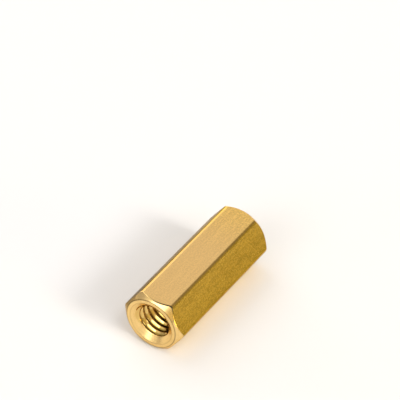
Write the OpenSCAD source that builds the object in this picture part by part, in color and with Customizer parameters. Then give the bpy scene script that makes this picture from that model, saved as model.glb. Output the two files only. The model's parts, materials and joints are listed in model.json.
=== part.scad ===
// Hex standoff: one piece of drawn hexagon brass bar, turned at both ends and tapped right through.
// It lies on one flat, with its axis along X. The origin is the middle of that flat.

/* [Bar] */
// Size across the flats of the hexagon bar
across_flats = 6.0; // [5.5:0.1:8.0]
// Length over the two end faces
body_length = 16.0; // [8:0.5:40]
// How much is missing from each long corner, measured from the sharp corner towards the axis
corner_blunting = 0.08; // [0.02:0.01:0.12]

/* [Tapped hole] */
// Major diameter of the thread
thread_diameter = 4.0; // [3.0:0.5:4.0]
// Distance from one thread crest to the next
thread_pitch = 0.7; // [0.5:0.05:0.8]
// How far the countersink opens past the thread's major diameter, on each side
countersink_lip = 0.4; // [0.1:0.05:0.6]
// Included angle of the countersink
countersink_angle = 120; // [80:1:130]

/* [Turned ends] */
// How far the rim of the end face lies inside the bar's flats
face_inset = 0.2; // [0.1:0.05:0.3]
// Angle of the outer chamfer, measured from the end face
chamfer_angle = 45; // [20:1:60]

/* [Hidden] */

// Facets drawn on round surfaces
round_facets = 96;
// How far cutting tools run past the surfaces that they cut
overrun = 1;
// Flats round the bar
flat_count = 6;

flat_radius = across_flats / 2;
half_flat_angle = 180 / flat_count;
sharp_radius = flat_radius / cos(half_flat_angle);
corner_radius = sharp_radius - corner_blunting;

// The tapping drill leaves the major diameter less one pitch
bore_radius = (thread_diameter - thread_pitch) / 2;
countersink_radius = thread_diameter / 2 + countersink_lip;
// How deep the countersink is where it meets the bore
countersink_depth = (countersink_radius - bore_radius) / tan(countersink_angle / 2);

face_radius = flat_radius - face_inset;
// How far from the end face the outer chamfer meets the long corners
chamfer_depth = (corner_radius - face_radius) * tan(chamfer_angle);

// Half of the turned profile, as distance from the axis against distance along it
turned_outline = [
    [0, 0],
    [face_radius, 0],
    [corner_radius, chamfer_depth],
    [corner_radius, body_length - chamfer_depth],
    [face_radius, body_length],
    [0, body_length]
];

// The bar with sharp corners, standing on its end, with a flat facing along X
module sharp_bar() {
    rotate([0, 0, half_flat_angle])
        cylinder(r = sharp_radius, h = body_length, $fn = flat_count);
}

// The turned solid that blunts the bar's long corners and chamfers its ends
module turned_envelope() {
    rotate_extrude($fn = round_facets)
        polygon(turned_outline);
}

// The hole before tapping, run past both end faces
module bore() {
    translate([0, 0, -overrun])
        cylinder(r = bore_radius, h = body_length + 2 * overrun, $fn = round_facets);
}

// The cone that opens the bore at the lower end face, run out past the face
module countersink() {
    outward_growth = overrun * tan(countersink_angle / 2);
    translate([0, 0, -overrun])
        cylinder(
            r1 = countersink_radius + outward_growth,
            r2 = bore_radius,
            h = countersink_depth + overrun,
            $fn = round_facets
        );
}

// The whole standoff, standing on its end
module upright_standoff() {
    difference() {
        intersection() {
            sharp_bar();
            turned_envelope();
        }
        bore();
        countersink();
        translate([0, 0, body_length])
            mirror([0, 0, 1])
                countersink();
    }
}

// The standoff as it lies, centred on the flat that it rests on
module standoff() {
    color("goldenrod")
        translate([-body_length / 2, 0, flat_radius])
            rotate([0, 90, 0])
                upright_standoff();
}

standoff();
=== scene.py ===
"""Looks of a female-to-female brass hex standoff that lies on one flat.

The drawn hexagon bar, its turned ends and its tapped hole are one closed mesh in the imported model's frame:
metres, X along the hole, Z up, with the origin in the middle of the flat that the standoff lies on.
"""

import json
import logging
import math
from dataclasses import dataclass, field
from enum import IntEnum
from typing import Any

import bmesh
import bpy
import numpy as np
from mathutils import Matrix, Vector


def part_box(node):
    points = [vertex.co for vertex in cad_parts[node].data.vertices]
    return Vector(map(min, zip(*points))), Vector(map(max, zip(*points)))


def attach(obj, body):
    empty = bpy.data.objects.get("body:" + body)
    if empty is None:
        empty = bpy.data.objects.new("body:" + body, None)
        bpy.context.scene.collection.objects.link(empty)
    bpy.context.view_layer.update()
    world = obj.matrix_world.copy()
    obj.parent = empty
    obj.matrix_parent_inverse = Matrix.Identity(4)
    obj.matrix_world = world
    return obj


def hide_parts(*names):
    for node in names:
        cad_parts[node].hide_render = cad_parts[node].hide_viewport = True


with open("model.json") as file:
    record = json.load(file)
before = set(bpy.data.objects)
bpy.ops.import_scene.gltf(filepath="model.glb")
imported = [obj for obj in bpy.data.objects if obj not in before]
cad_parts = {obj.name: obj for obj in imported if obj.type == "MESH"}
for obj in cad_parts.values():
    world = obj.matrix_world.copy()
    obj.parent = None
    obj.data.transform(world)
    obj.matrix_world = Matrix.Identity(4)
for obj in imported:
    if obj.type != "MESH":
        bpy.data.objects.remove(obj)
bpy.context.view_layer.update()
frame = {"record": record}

log = logging.getLogger("hex_standoff")

Number = int | float
Colour = tuple[float, float, float, float]
Direction = tuple[float, float]
Profile = tuple[np.ndarray, np.ndarray, np.ndarray]

MM = 0.001
FULL_TURN = 2 * math.pi
SIDES = 6
SIDE = math.radians(60)
HALF_SIDE = math.radians(30)
ANGLE_SLACK = 1e-9
WELD_DISTANCE = 1e-7
SLIVER = 1e-8
SPARE_TURNS = 2
# Name of the point attribute that carries painted shade along edges and in the thread.
PAINTED_SHADE_ATTRIBUTE = "painted_shade"
MIX_LOW, MIX_HIGH, MIX_RESULT = 6, 7, 2


class Finish(IntEnum):
    """Which tool left a surface, as the index of its material on the mesh."""

    DRAWN = 0
    TURNED = 1
    TAPPED = 2


class Value:
    """A shader socket that takes part in Python arithmetic."""

    def __init__(self, shader: "Shader", socket: "bpy.types.NodeSocket | None") -> None:
        """Wraps an output socket of a shader's tree, or nothing for a node that has none."""
        self.shader = shader
        self.socket = socket

    def _math(self, operation: str, *inputs: "Value | Number") -> "Value":
        """Adds one Math node.

        Args:
            operation: The Math node's operation.
            *inputs: Values or numbers for its sockets, in order.

        Returns:
            The node's result.
        """
        return self.shader.node("ShaderNodeMath", {"operation": operation}, dict(enumerate(inputs)))

    def __add__(self, other: "Value | Number") -> "Value":
        """Adds."""
        return self._math("ADD", self, other)

    __radd__ = __add__

    def __sub__(self, other: "Value | Number") -> "Value":
        """Subtracts."""
        return self._math("SUBTRACT", self, other)

    def __rsub__(self, other: Number) -> "Value":
        """Subtracts this value from a number."""
        return self._math("SUBTRACT", other, self)

    def __mul__(self, other: "Value | Number") -> "Value":
        """Multiplies."""
        return self._math("MULTIPLY", self, other)

    __rmul__ = __mul__

    def power(self, exponent: Number) -> "Value":
        """Raises to a power."""
        return self._math("POWER", self, exponent)

    def ramp(self, low: Number, high: Number) -> "Value":
        """Rises smoothly from 0 at low to 1 at high."""
        inputs = {"Value": self, "From Min": low, "From Max": high}
        return self.shader.node("ShaderNodeMapRange", {"interpolation_type": "SMOOTHSTEP"}, inputs)


class Shader:
    """Adds nodes to one material's or world's tree."""

    def __init__(self, tree: bpy.types.NodeTree) -> None:
        """Empties the tree, ready for new nodes."""
        self.tree = tree
        tree.nodes.clear()

    def node(
        self,
        kind: str,
        settings: dict[str, Any] | None = None,
        inputs: dict[str | int, Any] | None = None,
        output: str | int = 0,
    ) -> Value:
        """Adds a node of any type.

        Args:
            kind: The node's type name.
            settings: Properties to set first, such as a Math node's operation.
            inputs: A number, a colour, a vector or a linked value for each named socket.
            output: Which output to hand back.

        Returns:
            The chosen output.
        """
        made = self.tree.nodes.new(kind)
        for name, setting in (settings or {}).items():
            setattr(made, name, setting)
        for name, given in (inputs or {}).items():
            if isinstance(given, Value):
                self.tree.links.new(given.socket, made.inputs[name])
            else:
                made.inputs[name].default_value = given
        return Value(self, made.outputs[output] if made.outputs else None)

    def split(self, vector: Value) -> tuple[Value, Value, Value]:
        """Splits a vector.

        Args:
            vector: The vector to split.

        Returns:
            Its X, Y and Z.
        """
        first = self.node("ShaderNodeSeparateXYZ", inputs={"Vector": vector})
        outputs = first.socket.node.outputs
        return first, Value(self, outputs["Y"]), Value(self, outputs["Z"])

    def noise(self, vector: Value, scale: Number, detail: Number = 2.0, rough: Number = 0.55) -> Value:
        """Fractal noise between 0 and 1, at so many features per metre."""
        inputs = {"Vector": vector, "Scale": scale, "Detail": detail, "Roughness": rough}
        return self.node("ShaderNodeTexNoise", {"noise_dimensions": "3D"}, inputs)

    def mix_colour(self, mask: Value, low: Colour | Value, high: Colour | Value) -> Value:
        """Blends from the low colour to the high one as the mask goes from 0 to 1."""
        settings = {"data_type": "RGBA", "blend_type": "MIX"}
        inputs = {"Factor": mask, MIX_LOW: low, MIX_HIGH: high}
        return self.node("ShaderNodeMix", settings, inputs, MIX_RESULT)


@dataclass(frozen=True)
class Brass:
    """A brass finish: its colours, how it scatters light and the marks that its tool left.

    Attributes:
        name: The material's name.
        bright: Its colour where the clouding is 1.
        dull: Its colour where the clouding is 0.
        shade_colour: Its colour under painted shade.
        edge_tint: The tint of what it mirrors at a glancing angle.
        roughness: How rough it is halfway up its marks.
        roughness_spread: How much rougher the tops of its marks are than their feet.
        mark_depth: How deep its marks are.
        axis_height: How high the bar's axis lies.
    """

    name: str
    bright: Colour
    dull: Colour
    shade_colour: Colour
    edge_tint: Colour
    roughness: float
    roughness_spread: float
    mark_depth: float
    axis_height: float

    def _marks(self, shader: Shader) -> tuple[Value, Value]:
        """The tool marks and the slow clouding of a finish.

        Args:
            shader: The tree to add nodes to.

        Returns:
            The fine marks and the clouding, each between 0 and 1.
        """
        raise NotImplementedError

    def _painted_reflection(self, shader: Shader, colour: Value) -> Value:
        """The finish's colour with any painted light over it: as it is, unless a finish paints some."""
        return colour

    def material(self) -> bpy.types.Material:
        """Makes the material: colour and roughness follow the clouding and the marks, and a bump the marks.

        Returns:
            The material.
        """
        made = bpy.data.materials.new(self.name)
        made.use_nodes = True
        shader = Shader(made.node_tree)
        marks, clouding = self._marks(shader)
        # A finish may paint a reflection of the overhead light over its colour here.
        colour = self._painted_reflection(shader, shader.mix_colour(clouding, self.dull, self.bright))
        # Painted shade: the point attribute blends the colour towards the finish's shade colour.
        painted_shade = shader.node("ShaderNodeAttribute", {"attribute_name": PAINTED_SHADE_ATTRIBUTE}, output="Fac")
        colour = shader.mix_colour(painted_shade, colour, self.shade_colour)
        roughness = self.roughness + self.roughness_spread * (marks - 0.5)
        relief = {"Strength": 1.0, "Distance": self.mark_depth, "Height": marks}
        bump = shader.node("ShaderNodeBump", inputs=relief)
        surface = shader.node(
            "ShaderNodeBsdfPrincipled",
            inputs={
                "Base Color": colour,
                "Metallic": 1.0,
                "Roughness": roughness,
                "Specular Tint": self.edge_tint,
                "Normal": bump,
            },
        )
        shader.node("ShaderNodeOutputMaterial", inputs={"Surface": surface})
        return made


@dataclass(frozen=True)
class DrawnBrass(Brass):
    """Bar stock pulled through a die, with streaks along it; a painted overhead reflection tints its
    uppermost flat.

    Attributes:
        top_reflection: Colour of the painted reflection of the overhead light.
        half_length: Half the bar's length.
        top_reflection_strength: How much of the brass the painted reflection hides at its fullest.
        top_reflection_heights: Where the painted reflection starts and where it is full, in heights of the
            axis.
        top_reflection_reach: Where the painted reflection would fade out towards the +X end, in half lengths.
        squeeze: How much slower the streaks change along the bar than across it.
        streaks_per_metre: How close the fine streaks are.
        bands_per_metre: How close the broad streaks are.
        blotches_per_metre: How close the blotches of tarnish are.
        mark_weights: How much of the marks is fine streaks and blotches.
        cloud_weights: How much of the clouding is fine streaks, broad streaks and blotches.
        cloud_range: Which levels of that mixture give dull and bright brass.
    """

    top_reflection: Colour
    half_length: float
    top_reflection_strength: float = 0.75
    top_reflection_heights: tuple[float, float] = (1.9, 2.0)
    top_reflection_reach: float = 1.6
    squeeze: float = 0.1
    streaks_per_metre: float = 7000
    bands_per_metre: float = 1800
    blotches_per_metre: float = 5500
    mark_weights: tuple[float, float] = (0.6, 0.4)
    cloud_weights: tuple[float, float, float] = (0.25, 0.15, 0.6)
    cloud_range: tuple[float, float] = (0.38, 0.62)

    def _marks(self, shader: Shader) -> tuple[Value, Value]:
        """Noise squeezed across the bar and stretched along it, with blotches of tarnish over it.

        Args:
            shader: The tree to add nodes to.

        Returns:
            The fine marks and the clouding, each between 0 and 1.
        """
        place = shader.node("ShaderNodeTexCoord", output="Object")
        drawn = shader.node("ShaderNodeMapping", inputs={"Vector": place, "Scale": (self.squeeze, 1.0, 1.0)})
        streaks = shader.noise(drawn, self.streaks_per_metre)
        bands = shader.noise(drawn, self.bands_per_metre)
        blotches = shader.noise(place, self.blotches_per_metre, rough=0.7)
        marks = self.mark_weights[0] * streaks + self.mark_weights[1] * blotches
        fine, broad, patchy = self.cloud_weights
        clouding = (fine * streaks + broad * bands + patchy * blotches).ramp(*self.cloud_range)
        return marks, clouding

    def _painted_reflection(self, shader: Shader, colour: Value) -> Value:
        """Paints a reflection of the overhead light onto the uppermost flat, less and less towards the +X
        end.

        Args:
            shader: The tree to add nodes to.
            colour: The brass's own colour.

        Returns:
            The colour with the painted reflection over it.
        """
        # Painted reflection: the uppermost flat takes the colour of the overhead light's reflection, fading
        # towards +X.
        along, _, up = shader.split(shader.node("ShaderNodeTexCoord", output="Object"))
        start, full = self.top_reflection_heights
        uppermost = up.ramp(start * self.axis_height, full * self.axis_height)
        fade = along.ramp(self.top_reflection_reach * self.half_length, 0)
        return shader.mix_colour(uppermost * fade * self.top_reflection_strength, colour, self.top_reflection)


@dataclass(frozen=True)
class TurnedBrass(Brass):
    """Faces that a lathe tool or a tap cut: rings run round the axis.

    Attributes:
        rings_per_metre: How close the rings are.
        clouds_per_metre: How close the clouds are.
        mark_weights: How much of the marks is rings and clouds.
        cloud_weights: How much of the clouding is rings and clouds.
        cloud_range: Which levels of that mixture give dull and bright brass.
    """

    rings_per_metre: float = 16000
    clouds_per_metre: float = 1500
    mark_weights: tuple[float, float] = (0.8, 0.2)
    cloud_weights: tuple[float, float] = (0.5, 0.5)
    cloud_range: tuple[float, float] = (0.35, 0.65)

    def _marks(self, shader: Shader) -> tuple[Value, Value]:
        """Noise along the distance from the axis makes rings, and slow noise in place clouds them.

        The distance is the root of the squares of Y and of the height above the axis, added.

        Args:
            shader: The tree to add nodes to.

        Returns:
            The fine marks and the clouding, each between 0 and 1.
        """
        place = shader.node("ShaderNodeTexCoord", output="Object")
        along, across, up = shader.split(place)
        height = up - self.axis_height
        radius = (across * across + height * height).power(0.5)
        ring_place = shader.node("ShaderNodeCombineXYZ", inputs={"X": radius, "Y": along})
        rings = shader.noise(ring_place, self.rings_per_metre, detail=1.0)
        clouds = shader.noise(place, self.clouds_per_metre)
        marks = self.mark_weights[0] * rings + self.mark_weights[1] * clouds
        clouding = (self.cloud_weights[0] * rings + self.cloud_weights[1] * clouds).ramp(*self.cloud_range)
        return marks, clouding


@dataclass(frozen=True)
class Bell:
    """A bell curve round the bar's axis, which rises from a foot to 1.

    Attributes:
        foot: The level away from the peak.
        peak: The angle of the peak, from straight up.
        width: The angle from the peak at which about a third of the rise is left.
    """

    foot: float
    peak: float
    width: float

    def over(self, angles: np.ndarray) -> np.ndarray:
        """The foot, and the rise times e to the minus square of how many widths away the peak is."""
        return self.foot + (1 - self.foot) * np.exp(-(((angles - self.peak) / self.width) ** 2))


@dataclass
class Standoff:
    """One piece of hexagon bar: drawn flats, two turned ends and a thread cut right through.

    Attributes:
        length: From end to end.
        across_flats: Width across the flats.
        across_corners: Width across the blunted corners.
        bore_radius: Radius of the hole before tapping, which is where the crests stay.
        thread_length: Length of the hole between its countersinks.
        root_radius: Radius at the thread's roots.
        pitch: How far the thread climbs in one turn.
        crest_share: How much of the pitch is flat crest.
        root_share: How much of the pitch is flat root.
        flank_points: Points down one flank.
        run_out: How deep under a countersink the thread takes its full painted shade.
        shade_depths: Depths between crest and root, as shares, at which shade_levels holds.
        shade_levels: How much painted shade the thread has at those depths.
        hole_shade: How the thread's painted shade gathers round the hole.
        mouth_shade: How much painted shade lies along the edge of the mouth.
        rim_shade: How much painted shade lies along the edge between the end's ring and its chamfer.
        shoulder_shade: How the painted shade gathers along the edge between the chamfer and the flats.
        countersink_half_angle: Angle between the axis and a countersink.
        face_inset: How far inside the flats the ring on the end stops.
        chamfer_angle: Angle between the end and its chamfer.
        edge_break: How far from a sharp corner its rounding starts.
        edge_margin: How far on from a rounding its sides are held flat, as a share of edge_break.
        edge_points: Points over a rounding.
        flat_columns: Columns over a flat.
        corner_columns: Columns over a corner.
        bar_steps: Points from the shoulder to the bar's middle.
        first_step: Where the first of them lies, as a share of the way.
        flat_radius: Distance from the axis to a flat.
        corner_radius: Radius of a blunted corner.
        countersink_radius: Radius of a mouth.
        face_radius: Outer radius of the ring on the end.
        flat_end: Half the angle that a flat spans.
        angles: Angle of each column.
        bar_radius: Distance from the axis to the bar's surface, for each column.
    """

    length: float
    across_flats: float
    across_corners: float
    bore_radius: float
    thread_length: float
    root_radius: float = 1.95 * MM
    pitch: float = 0.7 * MM
    crest_share: float = 0.12
    root_share: float = 0.17
    flank_points: int = 5
    run_out: float = 0.3 * MM
    # Painted shade: how dark the thread's hollows and the end's broken edges are painted.
    shade_depths: tuple[float, ...] = (0, 0.25, 0.5, 0.75, 1)
    shade_levels: tuple[float, ...] = (0.2, 0, 0.15, 0.9, 1)
    hole_shade: Bell = Bell(foot=0.35, peak=math.pi, width=0.75)
    mouth_shade: float = 0.25
    rim_shade: float = 0.55
    shoulder_shade: Bell = Bell(foot=0.2, peak=0.45, width=0.5)
    countersink_half_angle: float = math.radians(60)
    face_inset: float = 0.2 * MM
    chamfer_angle: float = math.radians(45)
    edge_break: float = 0.05 * MM
    edge_margin: float = 0.5
    edge_points: int = 5
    flat_columns: int = 32
    corner_columns: int = 8
    bar_steps: int = 7
    first_step: float = 0.01
    flat_radius: float = field(init=False)
    corner_radius: float = field(init=False)
    countersink_radius: float = field(init=False)
    face_radius: float = field(init=False)
    flat_end: float = field(init=False)
    angles: np.ndarray = field(init=False)
    bar_radius: np.ndarray = field(init=False)

    def __post_init__(self) -> None:
        """Works out the sizes that follow from the given ones."""
        self.flat_radius = self.across_flats / 2
        sharp_radius = self.flat_radius / math.cos(HALF_SIDE)
        blunting = sharp_radius - self.across_corners / 2
        self.corner_radius = blunting / (1 / math.cos(HALF_SIDE) - 1)
        depth = (self.length - self.thread_length) / 2
        self.countersink_radius = self.bore_radius + depth * math.tan(self.countersink_half_angle)
        self.face_radius = self.flat_radius - self.face_inset
        half_flat = (self.flat_radius - self.corner_radius) * math.tan(HALF_SIDE)
        self.flat_end = math.atan2(half_flat, self.flat_radius)
        self.angles = self._column_angles()
        self.bar_radius = self._outline(self.angles)

    def _column_angles(self) -> np.ndarray:
        """Places the mesh's columns: even over each flat and, closer, over each corner.

        Returns:
            Angles about X, from straight up.
        """
        over_flat = np.linspace(-self.flat_end, self.flat_end, self.flat_columns, endpoint=False)
        over_corner = np.linspace(self.flat_end, SIDE - self.flat_end, self.corner_columns, endpoint=False)
        one_side = np.concatenate([over_flat, over_corner])
        turns = np.arange(SIDES)[:, None] * SIDE
        return (one_side[None, :] + turns).ravel()

    def _outline(self, angles: np.ndarray) -> np.ndarray:
        """Distance from the axis to the bar's surface.

        Over a flat it is the flat's distance over the cosine of the angle from its middle. Over a corner it
        is the far side of the corner's circle, which touches both flats.

        Args:
            angles: Angles about the axis, from straight up.

        Returns:
            The distances, in metres.
        """
        from_flat = (angles + HALF_SIDE) % SIDE - HALF_SIDE
        over_flat = self.flat_radius / np.cos(from_flat)
        centre = (self.flat_radius - self.corner_radius) / math.cos(HALF_SIDE)
        from_corner = HALF_SIDE - np.abs(from_flat)
        chord = np.sqrt(np.maximum(self.corner_radius**2 - (centre * np.sin(from_corner)) ** 2, 0))
        over_corner = centre * np.cos(from_corner) + chord
        on_flat = np.abs(from_flat) <= self.flat_end + ANGLE_SLACK
        return np.where(on_flat, over_flat, over_corner)

    def _rounded(self, corner: np.ndarray, before: Direction, after: Direction) -> np.ndarray:
        """A broken edge: the quadratic curve that leaves one side and joins the other near a corner.

        One more point on either side, a margin further on, keeps the sides flat right up to the edge.

        Args:
            corner: Where the sides would meet, as (along, out) for each column.
            before: Unit direction from the corner back along the first side.
            after: Unit direction from the corner on along the second side.

        Returns:
            Points of shape (steps, columns, 2).
        """
        t = np.linspace(0, 1, self.edge_points)[:, None, None]
        start = corner + self.edge_break * np.array(before)
        end = corner + self.edge_break * np.array(after)
        curve = (1 - t) ** 2 * start + 2 * t * (1 - t) * corner + t**2 * end
        before_start = (1 + self.edge_margin) * start - self.edge_margin * corner
        past_end = (1 + self.edge_margin) * end - self.edge_margin * corner
        return np.concatenate([[before_start], curve, [past_end]])

    def _end_shade(self, drawn_steps: int) -> np.ndarray:
        """Painted shade on the -X end: its three broken edges hold it and the faces between them don't.

        Args:
            drawn_steps: Steps of the profile on the bar's drawn surface, which have no painted shade.

        Returns:
            Painted shade of shape (steps, columns), in the order of the end's profile.
        """
        columns = len(self.angles)
        edge = self.edge_points
        # Painted dark lines along the mouth's and the rim's broken edges, and along the shoulder.
        levels = np.repeat([self.mouth_shade, 0, self.rim_shade, 0], [edge, 2, edge, 2])
        return np.concatenate(
            [
                np.repeat(levels[:, None], columns, axis=1),
                np.tile(self.shoulder_shade.over(self.angles), (edge + 1, 1)),
                np.zeros((drawn_steps, columns)),
            ]
        )

    def _end_profile(self) -> Profile:
        """Profile of the -X end, from the hole's mouth over the ring and the chamfer to the bar's middle.

        The chamfer is a cone, so the shoulder lies as deep as the bar's surface stands out past the ring,
        times the tangent of the chamfer's angle.

        Returns:
            Points of shape (steps, columns, 2) as (along, out), each step's finish, and how much painted
            shade each point has.
        """
        end = -self.length / 2
        columns = len(self.angles)
        slope = self.chamfer_angle
        sink = self.countersink_half_angle
        mouth = np.tile([end, self.countersink_radius], (columns, 1))
        rim = np.tile([end, self.face_radius], (columns, 1))
        depth = (self.bar_radius - self.face_radius) * math.tan(slope)
        shoulder = np.stack([end + depth, self.bar_radius], axis=1)
        up_cone = (math.sin(slope), math.cos(slope))
        into_hole = (math.cos(sink), -math.sin(sink))
        turned = np.concatenate(
            [
                self._rounded(mouth, into_hole, (0, 1))[1:],
                self._rounded(rim, (0, -1), up_cone),
                self._rounded(shoulder, (-up_cone[0], -up_cone[1]), (1, 0)),
            ]
        )
        steps = np.concatenate([[self.first_step], np.linspace(0, 1, self.bar_steps)[1:]])[:, None]
        along = turned[-1, :, 0] * (1 - steps)
        drawn = np.stack([along, np.broadcast_to(self.bar_radius, along.shape)], axis=2)
        finish = np.repeat([Finish.TURNED, Finish.DRAWN], [len(turned) - 1, len(drawn)])
        return np.concatenate([turned, drawn]), finish, self._end_shade(len(drawn))

    def _outside(self) -> Profile:
        """The outside from one mouth to the other: the -X end's profile and its mirror image without painted
        shade.

        Returns:
            Points of shape (steps, columns, 2) as (along, out), each step's finish, and how much painted
            shade each point has.
        """
        near, finish, painted_shade = self._end_profile()
        far = near[-2::-1] * np.array([-1.0, 1.0])
        return (
            np.concatenate([near, far]),
            np.concatenate([finish, finish[::-1]]),
            np.concatenate([painted_shade, np.zeros(far.shape[:2])]),
        )

    def _thread_form(self) -> Profile:
        """One pitch of the thread, from the middle of a crest.

        Crest and root are flat and the flanks between them straight. The crest lies at the bore's radius.
        Painted shade darkens the middle of the crest and the root, and each flank has least of it
        near its crest.

        Returns:
            How far along each point is, as a share of the pitch, its distance from the axis, and how much
            painted shade it has.
        """
        flank = np.linspace(0, 1, self.flank_points)
        down = np.concatenate([[0], self.crest_share + (1 - self.crest_share - self.root_share) * flank])
        share = np.concatenate([down, [1], 2 - down[:0:-1]]) / 2
        sunk = np.concatenate([[0], flank, [1], flank[::-1]])
        # Painted shade over the thread form, full at the middle of the crest.
        painted_shade = np.interp(sunk, self.shade_depths, self.shade_levels)
        painted_shade[0] = 1
        return share, self.bore_radius + (self.root_radius - self.bore_radius) * sunk, painted_shade

    def _hole(self) -> Profile:
        """The threaded hole with its countersinks.

        Columns climb by one pitch a turn, so the grid's lines follow the thread. The surface is the wider of
        the thread and the two cones, and what would run past a mouth is held at the mouth. The thread's
        painted shade grows with its depth under the cones and gathers where hole_shade is high.

        Returns:
            Points of shape (steps, columns, 2) as (along, out), which of them lie on a cone, and how much
            painted shade each of them has.
        """
        share, out, painted_shade = self._thread_form()
        turns = math.ceil(self.length / self.pitch) + SPARE_TURNS
        along = (np.arange(turns)[:, None] + share[None, :]).ravel() * self.pitch
        rise = self.angles * self.pitch / FULL_TURN
        start = -self.length / 2 - self.pitch - rise[0]
        along = start + along[:, None] + rise[None, :]
        thread = np.tile(out, turns)[:, None]
        sink = self.countersink_half_angle
        limit = self.length / 2 - self.edge_break * math.cos(sink)
        along = np.clip(along, -limit, limit)
        cone = self.countersink_radius - (self.length / 2 - np.abs(along)) * math.tan(sink)
        buried = np.clip((thread - cone) / self.run_out, 0, 1)
        # Painted shade grows with the thread's depth under the cones and with the bell curve round the hole.
        painted_shade = buried * self.hole_shade.over(self.angles) * np.tile(painted_shade, turns)[:, None]
        return np.stack([along, np.maximum(thread, cone)], axis=2), cone > thread, painted_shade

    def _place(self, profile: np.ndarray) -> np.ndarray:
        """Swings each column of a profile to its own angle about the axis.

        Args:
            profile: Points of shape (steps, columns, 2) as (along, out).

        Returns:
            Their places in the frame, of shape (points, 3).
        """
        along, out = profile[..., 0], profile[..., 1]
        across = -out * np.sin(self.angles)
        up = self.flat_radius + out * np.cos(self.angles)
        return np.stack([along, across, up], axis=-1).reshape(-1, 3)

    @staticmethod
    def _quads(steps: int, columns: int, shift: int) -> np.ndarray:
        """Corner numbers of a grid's quads, closed round the axis.

        Args:
            steps: Points along each column.
            columns: Columns round the axis.
            shift: How many steps further on the last column meets the first one.

        Returns:
            Corner numbers of shape (quads, 4).
        """
        step, column = np.meshgrid(np.arange(steps - 1), np.arange(columns), indexing="ij")
        following = (column + 1) % columns
        lift = np.where(column == columns - 1, shift, 0)
        here = step * columns + column
        above = (step + 1) * columns + column
        beside = np.minimum(step + lift, steps - 1) * columns + following
        beyond = np.minimum(step + 1 + lift, steps - 1) * columns + following
        return np.stack([here, beside, beyond, above], axis=-1).reshape(-1, 4)

    def build(self) -> bpy.types.Object:
        """Joins the outside and the hole into one closed mesh.

        Returns:
            The standoff's object, with each face's finish and each point's painted shade.
        """
        outside, finish, painted_shade = self._outside()
        hole, on_cone, hole_shade = self._hole()
        share, _, _ = self._thread_form()
        columns = len(self.angles)
        shell_quads = self._quads(len(outside), columns, 0)
        hole_quads = self._quads(len(hole), columns, len(share))[:, ::-1]
        places = np.concatenate([self._place(outside), self._place(hole)])
        quads = np.concatenate([shell_quads, hole_quads + len(outside) * columns])
        countersunk = on_cone.ravel()[hole_quads].all(axis=1)
        inside = np.where(countersunk, Finish.TURNED, Finish.TAPPED)
        finishes = np.concatenate([np.repeat(finish, columns), inside])
        mesh = bpy.data.meshes.new("hex_standoff")
        mesh.from_pydata(places, [], quads)
        mesh.polygons.foreach_set("material_index", finishes.astype(np.int32))
        # Painted shade of each point, outside first and then the hole.
        shades = np.concatenate([painted_shade.ravel(), hole_shade.ravel()])
        mesh.attributes.new(PAINTED_SHADE_ATTRIBUTE, "FLOAT", "POINT").data.foreach_set("value", shades)
        self._close(mesh)
        piece = bpy.data.objects.new("hex_standoff", mesh)
        bpy.context.collection.objects.link(piece)
        return piece

    @staticmethod
    def _close(mesh: bpy.types.Mesh) -> None:
        """Merges the points that meet, which also clears the faces held at the mouths, and shades it smooth.

        Args:
            mesh: The mesh to close.
        """
        shell = bmesh.new()
        shell.from_mesh(mesh)
        bmesh.ops.remove_doubles(shell, verts=shell.verts, dist=WELD_DISTANCE)
        bmesh.ops.dissolve_degenerate(shell, edges=shell.edges, dist=SLIVER)
        bmesh.ops.recalc_face_normals(shell, faces=shell.faces)
        shell.to_mesh(mesh)
        shell.free()
        mesh.shade_smooth()
        open_edges = len(mesh.edges) * 2 - len(mesh.loops)
        log.info("standoff mesh: %d faces, %d open edges", len(mesh.polygons), open_edges)

    def dress(self, piece: bpy.types.Object) -> None:
        """Gives the piece its finishes, in the order of Finish.

        Args:
            piece: The standoff's object.
        """
        # Each finish's shade colour is the colour of its painted shade.
        finishes = [
            DrawnBrass(
                name="drawn_brass",
                bright=(0.905, 0.592, 0.147, 1.0),
                dull=(0.575, 0.368, 0.0785, 1.0),
                shade_colour=(0.2, 0.13, 0.03, 1.0),
                edge_tint=(0.3, 0.24, 0.1, 1.0),
                roughness=0.22,
                roughness_spread=0.1,
                mark_depth=0.0014 * MM,
                axis_height=self.flat_radius,
                # Colour of the painted reflection of the overhead light on the top flat.
                top_reflection=(0.7, 0.465, 0.205, 1.0),
                half_length=self.length / 2,
            ),
            TurnedBrass(
                name="turned_brass",
                bright=(0.87, 0.6, 0.24, 1.0),
                dull=(0.78, 0.53, 0.2, 1.0),
                shade_colour=(0.08, 0.06, 0.025, 1.0),
                edge_tint=(0.9, 0.8, 0.6, 1.0),
                roughness=0.2,
                roughness_spread=0.1,
                mark_depth=0.002 * MM,
                axis_height=self.flat_radius,
            ),
            TurnedBrass(
                name="tapped_brass",
                bright=(0.78, 0.53, 0.19, 1.0),
                dull=(0.7, 0.46, 0.14, 1.0),
                shade_colour=(0.3, 0.21, 0.035, 1.0),
                edge_tint=(1.0, 1.0, 1.0, 1.0),
                roughness=0.1,
                roughness_spread=0.1,
                mark_depth=0.0004 * MM,
                axis_height=self.flat_radius,
            ),
        ]
        for finish in finishes:
            piece.data.materials.append(finish.material())


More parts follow.
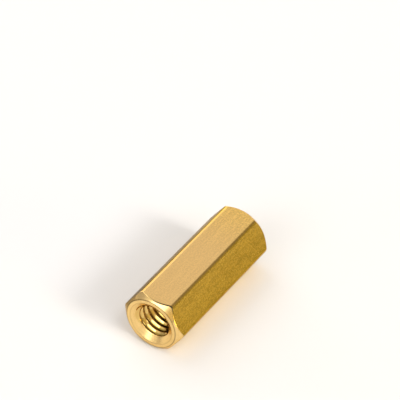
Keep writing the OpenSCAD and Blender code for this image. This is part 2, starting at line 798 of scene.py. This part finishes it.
@dataclass(frozen=True)
class Sheet:
    """A level sheet of matt paper on the stage.

    Attributes:
        name: What it is.
        low: Its corner at the lowest X and Y.
        high: Its corner at the highest X and Y.
        colour: The paper's colour.
        height: How high it lies.
        edge: How wide its edges take to thin out to nothing, or 0 for a sheet that ends at once.
        roughness: The paper's roughness.
    """

    name: str
    low: tuple[float, float]
    high: tuple[float, float]
    colour: Colour
    height: float = 0.0
    edge: float = 0.0
    roughness: float = 0.8

    def build(self) -> bpy.types.Object:
        """Lays the sheet down.

        Returns:
            Its object.
        """
        low, high = self.low, self.high
        corners = [low, (high[0], low[1]), high, (low[0], high[1])]
        mesh = bpy.data.meshes.new(self.name)
        mesh.from_pydata([(*corner, self.height) for corner in corners], [], [(0, 1, 2, 3)])
        mesh.materials.append(self._paper())
        sheet = bpy.data.objects.new(self.name, mesh)
        bpy.context.collection.objects.link(sheet)
        return sheet

    def _paper(self) -> bpy.types.Material:
        """Makes the paper: it thins out smoothly over the width of its edges, if they have one.

        Returns:
            The material.
        """
        made = bpy.data.materials.new(self.name)
        made.use_nodes = True
        shader = Shader(made.node_tree)
        inputs: dict[str | int, Any] = {"Base Color": self.colour, "Roughness": self.roughness}
        if self.edge:
            low, high, edge = self.low, self.high, self.edge
            along, across, _ = shader.split(shader.node("ShaderNodeTexCoord", output="Object"))
            lengthwise = along.ramp(low[0], low[0] + edge) * along.ramp(high[0], high[0] - edge)
            crosswise = across.ramp(low[1], low[1] + edge) * across.ramp(high[1], high[1] - edge)
            inputs["Alpha"] = lengthwise * crosswise
        surface = shader.node("ShaderNodeBsdfPrincipled", inputs=inputs)
        shader.node("ShaderNodeOutputMaterial", inputs={"Surface": surface})
        return made


@dataclass(frozen=True)
class Glow:
    """A soft patch of the studio dome, round a direction.

    Attributes:
        azimuth: Which way its middle lies, in degrees from +X towards +Y.
        elevation: How high its middle lies, in degrees.
        inner: How far from its middle it is full, in degrees.
        outer: How far from its middle it ends, in degrees.
        colour: Its light.
    """

    azimuth: float
    elevation: float
    inner: float
    outer: float
    colour: Colour

    def direction(self) -> tuple[float, float, float]:
        """Unit vector from the object to the middle of the patch."""
        turn, lift = math.radians(self.azimuth), math.radians(self.elevation)
        return math.cos(turn) * math.cos(lift), math.sin(turn) * math.cos(lift), math.sin(lift)


@dataclass(frozen=True)
class Studio:
    """A pale floor under a soft dome of light, with two cards that the metal mirrors.

    Attributes:
        floor_size: Length of the floor's sides.
        floor_colour: The floor's colour.
        cards: Soft-edged cards that lie on the floor and are seen only in the metal's reflections.
        dome: The dome's light away from its patches.
        glows: The dome's patches, each laid over the ones before it.
    """

    floor_size: float = 3.0
    floor_colour: Colour = (0.585, 0.577, 0.565, 1.0)
    cards: tuple[Sheet, ...] = (
        Sheet(
            name="dark_card",
            low=(-60 * MM, 4 * MM),
            high=(4 * MM, 90 * MM),
            colour=(0.2, 0.185, 0.17, 1.0),
            height=0.01 * MM,
            edge=5 * MM,
        ),
        Sheet(
            name="gold_card",
            low=(-7 * MM, -100 * MM),
            high=(100 * MM, -5 * MM),
            colour=(0.23, 0.198, 0.035, 1.0),
            height=0.01 * MM,
            edge=5 * MM,
        ),
    )
    dome: Colour = (0.55, 0.53, 0.54, 1.0)
    glows: tuple[Glow, ...] = (
        Glow(168, 22, 24, 46, (1.05, 1.03, 1.0, 1.0)),
        Glow(28, 50, 18, 32, (1.02, 0.98, 0.97, 1.0)),
        Glow(-53, 4, 22, 40, (0.43, 0.375, 0.07, 1.0)),
        Glow(-35, 40, 14, 30, (0.28, 0.24, 0.12, 1.0)),
        Glow(90, 50, 12, 24, (3.2, 3.1, 3.0, 1.0)),
        Glow(-90, 68, 8, 16, (5.0, 4.9, 4.8, 1.0)),
        Glow(-86, 34, 6, 11, (25.0, 25.0, 26.0, 1.0)),
        Glow(-112, 40, 7, 13, (6.0, 6.0, 6.2, 1.0)),
        Glow(212, 14, 3, 18, (0.85, 0.7, 0.35, 1.0)),
        Glow(-90, 6, 7, 15, (16.0, 12.5, 3.0, 1.0)),
        Glow(166, 26, 12, 19, (4.6, 4.7, 5.2, 1.0)),
        Glow(180, 34, 9, 19, (3.8, 3.8, 3.8, 1.0)),
        Glow(47, 15, 12, 24, (1.95, 1.85, 1.75, 1.0)),
        Glow(75, 12, 8, 20, (4.0, 3.7, 3.4, 1.0)),
    )

    def build(self) -> None:
        """Makes the floor, the cards and the dome."""
        half = self.floor_size / 2
        Sheet("floor", (-half, -half), (half, half), self.floor_colour).build()
        for card in self.cards:
            laid = card.build()
            laid.visible_camera = False
            laid.visible_diffuse = False
            laid.visible_shadow = False
        self._dome()

    def _dome(self) -> None:
        """A world whose light is even, apart from soft patches.

        A patch takes over smoothly as the cosine of the angle to its middle goes from that of its outer limit
        to that of its inner one.
        """
        world = bpy.data.worlds.new("studio_dome")
        world.use_nodes = True
        bpy.context.scene.world = world
        shader = Shader(world.node_tree)
        direction = shader.node("ShaderNodeTexCoord", output="Generated")
        light: Colour | Value = self.dome
        for glow in self.glows:
            arms = {0: direction, 1: glow.direction()}
            facing = shader.node("ShaderNodeVectorMath", {"operation": "DOT_PRODUCT"}, arms, output="Value")
            limit, full = math.cos(math.radians(glow.outer)), math.cos(math.radians(glow.inner))
            light = shader.mix_colour(facing.ramp(limit, full), light, glow.colour)
        background = shader.node("ShaderNodeBackground", inputs={"Color": light, "Strength": 1.0})
        shader.node("ShaderNodeOutputWorld", inputs={"Surface": background})


@dataclass(frozen=True)
class Camera:
    """A long lens that looks down on the standoff, past its open end.

    Attributes:
        aim: The point on the floor that it looks at.
        azimuth: Which way it looks, in degrees from +X towards +Y.
        descent: How steeply it looks down, in degrees.
        roll: How far it is turned about its line of sight, in degrees.
        distance: From the camera to its aim.
        lens: Focal length, in millimetres.
        clip_ratio: How many times nearer and farther than its aim it still sees.
    """

    aim: tuple[float, float, float] = (11.846 * MM, 7.146 * MM, 0.0)
    azimuth: float = 28.596
    descent: float = 44.084
    roll: float = 7.035
    distance: float = 300 * MM
    lens: float = 265.93
    clip_ratio: float = 50

    def build(self) -> None:
        """Places the camera on the line through its aim and makes it the scene's own."""
        turn, down, roll = math.radians(self.azimuth), math.radians(self.descent), math.radians(self.roll)
        forward = Vector((math.cos(turn) * math.cos(down), math.sin(turn) * math.cos(down), -math.sin(down)))
        level = Vector((math.sin(turn), -math.cos(turn), 0))
        upright = level.cross(forward)
        right = math.cos(roll) * level + math.sin(roll) * upright
        up = math.cos(roll) * upright - math.sin(roll) * level
        data = bpy.data.cameras.new("camera")
        data.lens = self.lens
        data.clip_start = self.distance / self.clip_ratio
        data.clip_end = self.distance * self.clip_ratio
        camera = bpy.data.objects.new("camera", data)
        place = Vector(self.aim) - self.distance * forward
        camera.matrix_world = Matrix.Translation(place) @ Matrix((right, up, -forward)).transposed().to_4x4()
        bpy.context.collection.objects.link(camera)
        bpy.context.scene.camera = camera


def standoff_from_frame() -> Standoff:
    """Reads the standoff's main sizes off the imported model.

    Returns:
        A standoff that fills the model's box and has its bore.
    """
    low, high = (np.array(corner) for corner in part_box("standoff"))
    length, across_corners, across_flats = high - low
    thread = next(mount for mount in frame["record"]["mounts"] if mount["kind"] == "threaded_hole")
    bore_radius = thread["dims"]["r_mm"] * MM
    thread_length = thread["dims"]["length_mm"] * MM
    return Standoff(length, across_flats, across_corners, bore_radius, thread_length)


def main() -> None:
    """Builds the standoff, the studio and the camera."""
    logging.basicConfig(level=logging.INFO, format="%(name)s: %(message)s")
    standoff = standoff_from_frame()
    piece = standoff.build()
    standoff.dress(piece)
    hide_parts("standoff")
    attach(piece, "root")
    log.info("built %s", piece.name)
    Studio().build()
    Camera().build()
    bpy.context.scene.view_settings.view_transform = "Standard"


if __name__ == "__main__":
    main()
